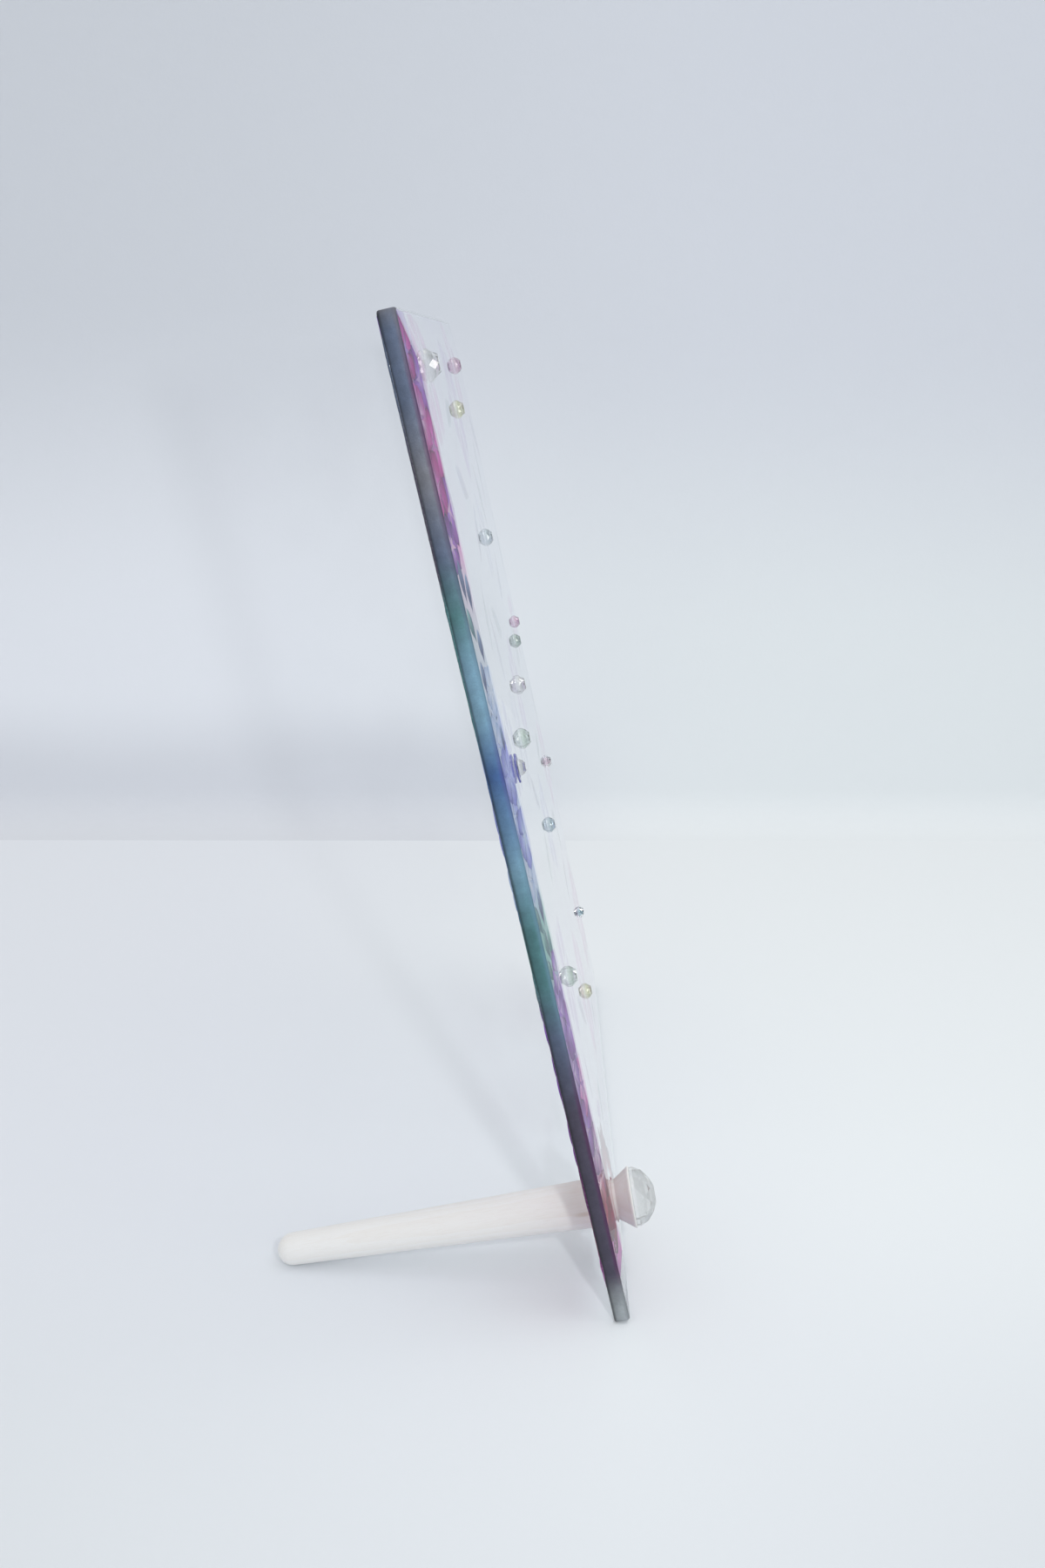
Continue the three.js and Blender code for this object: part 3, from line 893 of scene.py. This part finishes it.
def make_crystal(node, turn, materials):
    low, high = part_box(node)
    t, h = middle_on_pane(low, high)
    size = (high.x - low.x) / MM
    base = PANE_THICKNESS + (FLOWER_STONE_LIFT if node == "flower_crystal" else GLUE_GAP)
    points = cut_points(size / 2, size * 0.4, 0.12, FACE_CROWN)

    def place(point):
        x = point.x * math.cos(turn) - point.y * math.sin(turn)
        y = point.x * math.sin(turn) + point.y * math.cos(turn)
        return on_pane(t + x, h + y, base + point.z)

    piece = hull_piece("cut_" + node, points, place, "pane", materials, node)


def make_flower(node, material, t, h):
    """Five petals of thick relief paint, a little cupped."""
    points, faces = [], []
    rows, columns = 9, 7
    size = rows * columns
    for petal in range(5):
        angle = math.radians(90 + 72 * petal + 14)
        base = len(points)
        for back, u, v in petal_grid(rows, columns):
            half = 1.95 * max(math.sin(math.pi * (0.08 + 0.86 * u) ** 1.25), 0.0) ** 0.7
            along = 0.4 + 3.2 * u * (1 - 0.12 * v * v * u)
            across = half * v
            x = along * math.cos(angle) - across * math.sin(angle)
            y = along * math.sin(angle) + across * math.cos(angle)
            cup = 0.06 + 0.26 * u ** 1.8 + 0.06 * v * v * u
            body = 0.30 + 0.16 * (1 - v * v) * math.sin(math.pi * clamp(u, 0.04, 0.96))
            lift = max(cup - 0.05, 0.0) if back else min(cup + body, FLOWER_THICKNESS - 0.03)
            points.append(on_pane(t + x, h + y, PANE_THICKNESS + GLUE_GAP + lift))
        faces += two_sides(base, rows, columns)
        rim = [base + j for j in range(columns)]
        rim += [base + i * columns + columns - 1 for i in range(1, rows)]
        rim += [base + (rows - 1) * columns + j for j in reversed(range(columns - 1))]
        rim += [base + i * columns for i in reversed(range(1, rows - 1))]
        for a, b in zip(rim, rim[1:] + rim[:1]):
            faces.append((a, a + size, b + size, b))
    piece = build("relief_flower", points, faces, "pane", material, node)


# The wooden leg

TAIL_RADIUS = 4.1
COLLAR_RADIUS = 5.0
TENON_RADIUS = 3.0
SOCKET_RADIUS = TENON_RADIUS + 0.3


def arc(station, radius, bend, start, end, steps):
    """Profile points (station, radius) on a part of a circle with a bend of its own."""
    turns = [math.radians(start + (end - start) * k / steps) for k in range(steps + 1)]
    return [(station + bend * math.sin(a), radius + bend * math.cos(a)) for a in turns]


def leg_numbers():
    """First and last station, widest radius and all (station, radius) pairs of each CAD node of the leg."""
    centre = on_leg(0, 0, 0)
    found = {}
    for node in ("leg_shaft", "leg_head", "head_crystal"):
        pairs = []
        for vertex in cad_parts[node].data.vertices:
            away = vertex.co - centre
            station = away.dot(LEG_AXIS)
            pairs.append((station / MM, (away - LEG_AXIS * station).length / MM))
        stations = [s for s, r in pairs]
        found[node] = (min(stations), max(stations), max(r for s, r in pairs), pairs)
    return found


def make_leg(wood, numbers):
    low, high, widest, pairs = numbers["leg_shaft"]
    tail = high - TAIL_RADIUS
    socket = max(s for s, r in pairs if r < 3.5 and s < 40)
    profile = [
        (socket, 0.0), (socket, SOCKET_RADIUS), (low + 0.3, SOCKET_RADIUS), (low, SOCKET_RADIUS + 0.3),
        (low, widest - 0.55)]
    profile += arc(low + 0.5, widest - 0.5, 0.5, -90, 0, 5)
    steps = 40
    for k in range(1, steps):
        share = k / steps
        station = low + 0.5 + (tail - low - 0.5) * share
        radius = widest + (TAIL_RADIUS - widest) * share
        # hand turning leaves the taper a little uneven
        radius -= 0.05 * (0.5 + 0.5 * math.sin(share * 23.0)) * math.sin(math.pi * share)
        profile.append((station, radius))
    profile += arc(tail, 0.0, TAIL_RADIUS, 0, 90, 12)
    profile[-1] = (profile[-1][0], 0.0)
    shaft = lathe("turned_leg", profile, "leg", wood, "leg_shaft")
    low, high, widest, pairs = numbers["leg_head"]
    collar = [s for s, r in pairs if abs(r - COLLAR_RADIUS) < 0.05]
    neck, shoulder = min(collar), max(collar)
    profile = [(low + 0.35, 0.0), (low + 0.35, 0.7), (low, 0.9), (low, widest - 0.3)]
    profile += arc(low + 0.3, widest - 0.3, 0.3, -90, 20, 5)
    profile += [
        (low + 0.9, widest - 0.42), (neck - 0.25, COLLAR_RADIUS + 0.16), (neck - 0.05, COLLAR_RADIUS + 0.03),
        (neck + 0.1, COLLAR_RADIUS), (shoulder - 0.2, COLLAR_RADIUS), (shoulder, COLLAR_RADIUS - 0.2),
        (shoulder, TENON_RADIUS), (high - 0.5, TENON_RADIUS), (high, TENON_RADIUS - 0.5), (high, 0.0)]
    head = lathe("turned_head", profile, "head", wood, "leg_head")


HEAD_CROWN = ((1.0, 0.16, 16, 0.0), (0.86, 0.52, 8, 0.5), (0.60, 0.84, 8, 0.0), (0.27, 1.0, 8, 0.5))
# turned so that no facet mirrors the lamp as a whole
HEAD_CRYSTAL_TURN = math.radians(9)


def make_head_crystal(numbers, materials):
    low, high, widest = numbers["head_crystal"][:3]
    base = numbers["leg_head"][0] - 0.03
    points = cut_points(widest, high - low, 0.1, HEAD_CROWN)

    def place(point):
        turn = math.atan2(point.y, point.x) + HEAD_CRYSTAL_TURN
        return on_leg(base - point.z, math.hypot(point.x, point.y), turn)

    piece = hull_piece("cut_head_crystal", points, place, "head", materials, "head_crystal")


# Studio

# the paper's own colour, then painted shade: darker tones towards +y, high on the walls, low on the wall near
# the floor, and on the floor near the camera
PAPER = srgb(235, 240, 243)
PAPER_SHADE_LEFT = srgb(229, 233, 240)
PAPER_SHADE_HIGH = srgb(222, 226, 234)
PAPER_SHADE_HIGH_LEFT = srgb(218, 222, 229)
PAPER_SHADE_LOW = srgb(212, 216, 224)
PAPER_SHADE_NEAR = srgb(224, 229, 234)
# painted reflections: colours that only mirror rays and rays through glass find in the paper
PAINTED_REFLECTION_DIM = srgb(100, 104, 114)
PAINTED_REFLECTION_DARK = srgb(84, 88, 98)

# Sizes of the room, in metres
FLOOR_REACH = 4.0
ROOM_HALF_DEPTH = 0.262
ROOM_HALF_WIDTH = 0.420
ROOM_TOP = 0.9
ROOM_CORNER = 0.06
ROOM_CURVE = 0.02
ROOM_STEPS = 8
WALL_LIFT = 0.0002

# painted reflection: for mirror rays the paper beyond a line on the floor that slants and then runs straight
# is painted dim, as a room would look
MIRROR_NEAR = -0.064
MIRROR_SLANT = -0.25
MIRROR_SIDE = -0.095
# glow of the painted windows in the front wall, which are no lamps
PAINTED_WINDOW_GLOW = 3.5

AIR_COLOR = (0.985, 0.995, 1.0, 1)
AIR_STRENGTH = 0.765
KEY_POWER = 1.0
KEY_RADIUS = 0.009
KEY_CONE = math.radians(100)
KEY_PLACE = (-0.334, -0.084, 0.250)
KEY_AIM = (0.1, 0.02, 0.08)
WINDOW_POWER = 1.85
WINDOW_SIZE = (0.5, 0.7)
WINDOW_PLACE = (-0.1, -0.42, 1.0)
WINDOW_AIM = (-0.05, 0.0, 0.1)

# The camera, fitted to the photograph: its place in metres, its lens and film in millimetres
CAMERA_PLACE = (-0.35417, -0.01567, 0.22805)
CAMERA_YAW = math.radians(0.20)
CAMERA_PITCH = math.radians(-18.44)
CAMERA_LENS = 30.136
FILM_HEIGHT = 36.0


def room_paint(name, wall):
    """Pale matt studio paper, with painted shade in places and painted reflections for mirrors. Walls are
    there for sight and mirrors only, and only from inside.
    """
    n = Nodes(name)
    place = n.place()
    axes = n.add("SeparateXYZ", {0: place}).outputs
    cloud = n.math("SUBTRACT", n.noise(place, 4.0), 0.5)
    # painted shade: the paper turns darker and bluer towards +y, the side behind the pane
    side = n.span(n.math("MULTIPLY_ADD", cloud, 0.12, axes["Y"]), -0.12, 0.12)
    color = n.mix(side, PAPER, PAPER_SHADE_LEFT)
    if wall:
        # painted shade: the walls are painted darker from 0.09 m up, fully from 0.24 m, and darker still
        # towards +y
        height = n.math("MULTIPLY_ADD", cloud, 0.05, axes["Z"])
        high = n.mix(side, PAPER_SHADE_HIGH, PAPER_SHADE_HIGH_LEFT)
        color = n.mix(n.span(height, 0.09, 0.24), color, high)
        # painted shade: a darker band low on the wall just above the floor, towards +y
        low = n.times(n.span(height, 0.075, 0.03), n.span(axes["Y"], -0.08, 0.06))
        color = n.mix(low, color, PAPER_SHADE_LOW)
    else:
        # painted shade: the floor is painted darker towards the camera, where the key lamp's light pools
        color = n.mix(n.span(axes["X"], -0.02, -0.16, 0.0, 1.0), color, PAPER_SHADE_NEAR)
    path = n.add("LightPath").outputs
    beside = n.math("MULTIPLY_ADD", axes["X"], MIRROR_SLANT, MIRROR_NEAR)
    beside = n.math("MAXIMUM", beside, MIRROR_SIDE)
    # painted reflection: mirror rays find the paper half way to a dim grey beyond that line
    dim = n.span(n.math("SUBTRACT", axes["Y"], beside), 0.008, -0.008)
    dim = n.times(path["Is Glossy Ray"], dim)
    color = n.mix(n.times(dim, 0.5), color, PAINTED_REFLECTION_DIM)
    glow = 0.02
    if wall:
        # the walls get less of the even light than the floor, so they glow a little
        glow = n.times(n.span(axes["Z"], 0.12, 0.26, 0.07, 0.0), n.span(axes["Y"], -0.06, 0.08, 0.1, 1.0))
        # painted reflection for cut glass: for mirror rays and deep rays through glass, the wall in front of
        # the pane is painted dark, with a tall glowing strip at each end as painted windows
        deep = n.math("GREATER_THAN", path["Ray Depth"], 2.5)
        inner = n.math("MAXIMUM", path["Is Glossy Ray"], n.times(path["Is Transmission Ray"], deep))
        front = n.times(inner, n.span(axes["Y"], 0.02 - ROOM_HALF_WIDTH, 0.001 - ROOM_HALF_WIDTH))
        aside = n.math("ABSOLUTE", axes["X"])
        # painted windows: strips near each end of the front wall, above 0.1 m, that glow for mirror rays
        painted_windows = n.times(n.span(aside, 0.17, 0.18), n.span(axes["Z"], 0.08, 0.10))
        color = n.mix(front, color, PAINTED_REFLECTION_DARK)
        glow = n.math("MULTIPLY_ADD", n.times(front, painted_windows), PAINTED_WINDOW_GLOW, glow)
    fibres = n.bump(n.noise(place, 600.0, 2), 0.15, 0.0002)
    paper = n.principled(
        Base_Color=color, Roughness=0.9, Specular_IOR_Level=0.1, Normal=fibres,
        Emission_Color=(1, 0.98, 0.93), Emission_Strength=glow)
    if not wall:
        return n.finish(paper)
    seen = n.math("MAXIMUM", path["Is Camera Ray"], path["Is Glossy Ray"])
    seen = n.math("MAXIMUM", seen, path["Is Transmission Ray"])
    facing = n.add("NewGeometry").outputs["Backfacing"]
    seen = n.times(seen, n.math("SUBTRACT", 1.0, facing))
    return n.finish(n.shader_mix(seen, n.transparent(), paper))


def stage_piece(name, points, faces, material):
    piece = mesh_object(name, raw_mesh(name, points, faces), (material,))


def make_room():
    corners = [(x * FLOOR_REACH, y * FLOOR_REACH, 0) for x, y in ((-1, -1), (1, -1), (1, 1), (-1, 1))]
    stage_piece("studio_floor", corners, [(0, 1, 2, 3)], room_paint("floor_paper", False))
    # walls that curve up from the floor, round in the corners
    rows = []
    for k in range(ROOM_STEPS + 1):
        a = math.pi / 2 * k / ROOM_STEPS
        rows.append((ROOM_CURVE * (1 - math.sin(a)), ROOM_CURVE * (1 - math.cos(a)) + WALL_LIFT))
    rows.append((0.0, ROOM_TOP))
    points = []
    for inset, z in rows:
        reach = ROOM_CORNER - inset
        for quarter in range(4):
            x = (ROOM_HALF_DEPTH - ROOM_CORNER) * (1 if quarter in (0, 3) else -1)
            y = (ROOM_HALF_WIDTH - ROOM_CORNER) * (1 if quarter in (0, 1) else -1)
            for k in range(ROOM_STEPS + 1):
                a = math.radians(90 * quarter + 90 * k / ROOM_STEPS)
                points.append((x + reach * math.cos(a), y + reach * math.sin(a), z))
    faces = [tuple(reversed(face)) for face in grid_faces(len(rows), 4 * (ROOM_STEPS + 1))]
    stage_piece("studio_walls", points, faces, room_paint("wall_paper", True))


def add_lamp(data, place, aim):
    lamp = new_object(data.name, data)
    lamp.location = place
    lamp.rotation_mode = "QUATERNION"
    lamp.rotation_quaternion = (Vector(aim) - Vector(place)).to_track_quat("-Z", "Y")
    lamp.visible_camera = False


def make_lights():
    """Even light from all round, a soft window high up in front, and a small lamp beside the camera."""
    world = bpy.data.worlds.new("studio_air")
    scene.world = world
    world.use_nodes = True
    back = world.node_tree.nodes["Background"]
    back.inputs["Color"].default_value = AIR_COLOR
    back.inputs["Strength"].default_value = AIR_STRENGTH
    key = bpy.data.lights.new("key_by_camera", "SPOT")
    key.energy = KEY_POWER
    key.shadow_soft_size = KEY_RADIUS
    key.spot_size = KEY_CONE
    key.spot_blend = 1.0
    add_lamp(key, KEY_PLACE, KEY_AIM)
    window = bpy.data.lights.new("window", "AREA")
    window.shape = "RECTANGLE"
    window.size, window.size_y = WINDOW_SIZE
    window.energy = WINDOW_POWER
    add_lamp(window, WINDOW_PLACE, WINDOW_AIM)


def make_camera():
    data = bpy.data.cameras.new("photo_camera")
    data.sensor_fit = "VERTICAL"
    data.sensor_height = FILM_HEIGHT
    data.lens = CAMERA_LENS
    data.clip_start = 0.01
    data.clip_end = 20
    camera = new_object("photo_camera", data)
    camera.location = CAMERA_PLACE
    level = math.cos(CAMERA_PITCH)
    ahead = Vector((level * math.cos(CAMERA_YAW), level * math.sin(CAMERA_YAW), math.sin(CAMERA_PITCH)))
    right = Vector((math.sin(CAMERA_YAW), -math.cos(CAMERA_YAW), 0))
    up = right.cross(ahead)
    camera.rotation_mode = "QUATERNION"
    camera.rotation_quaternion = Matrix((right, up, -ahead)).transposed().to_quaternion()
    scene.camera = camera


# The object

make_camera()
make_lights()
make_room()
scene.view_settings.view_transform = "Standard"
scene.cycles.transparent_max_bounces = 16

make_pane(clear_glass(), glass_contact(), washed_edge(), relief_paint("hole_wall", CRIMSON, CRIMSON_LIGHT))
make_wash(wash_paint("wash_under_glass", False), wash_paint("wash_back", True))
make_flowers(petal_paint("petals_under_glass", False), petal_paint("petals_back", True))
make_beads(bead_paint())

# tint and slot of each kind of stone
TINTS = {
    "clear": ((0.98, 0.99, 0.99), "clear_crystal"), "rose": ((0.93, 0.80, 0.88), "pink_crystal"),
    "leaf": ((0.90, 0.97, 0.92), "green_crystal"), "moss": ((0.76, 0.83, 0.79), "green_crystal"),
    "lemon": ((0.95, 0.96, 0.80), "green_crystal"), "sea": ((0.78, 0.87, 0.90), "blue_crystal"),
    "teal": ((0.52, 0.68, 0.74), "blue_crystal"), "sky": ((0.90, 0.95, 0.97), "clear_crystal"),
}
STONES = (
    ("crystal_top_left", "clear"), ("crystal_top_right", "rose"), ("crystal_top_middle", "lemon"),
    ("crystal_upper_middle", "sky"), ("crystal_right_pink", "rose"), ("crystal_right_green", "moss"),
    ("crystal_centre", "clear"), ("crystal_left_of_centre", "leaf"), ("crystal_lower_right", "rose"),
    ("crystal_lower_middle", "sea"), ("crystal_bottom_right", "teal"), ("crystal_lower_left", "leaf"),
    ("crystal_bottom_middle", "lemon"), ("flower_crystal", "clear"),
)
# turn from each stone to the next
STONE_TURN = 0.37
glasses = {key: (crystal_glass("crystal_" + key, tint), foil("foil_" + key, tuple(0.93 * c for c in tint)))
           for key, (tint, slot_name) in TINTS.items()}
for index, (node, key) in enumerate(STONES):
    make_crystal(node, STONE_TURN * index, glasses[key])
flower_low, flower_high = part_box("flower_petals")
relief = relief_paint("violet_relief", srgb(98, 102, 168), srgb(140, 142, 196))
make_flower("flower_petals", relief, *middle_on_pane(flower_low, flower_high))
numbers = leg_numbers()
make_leg(pale_wood(), numbers)
head_glass = crystal_glass("head_glass", (0.96, 0.97, 0.965), 0.75)
make_head_crystal(numbers, (head_glass, foil("head_foil", (0.93, 0.95, 0.95))))
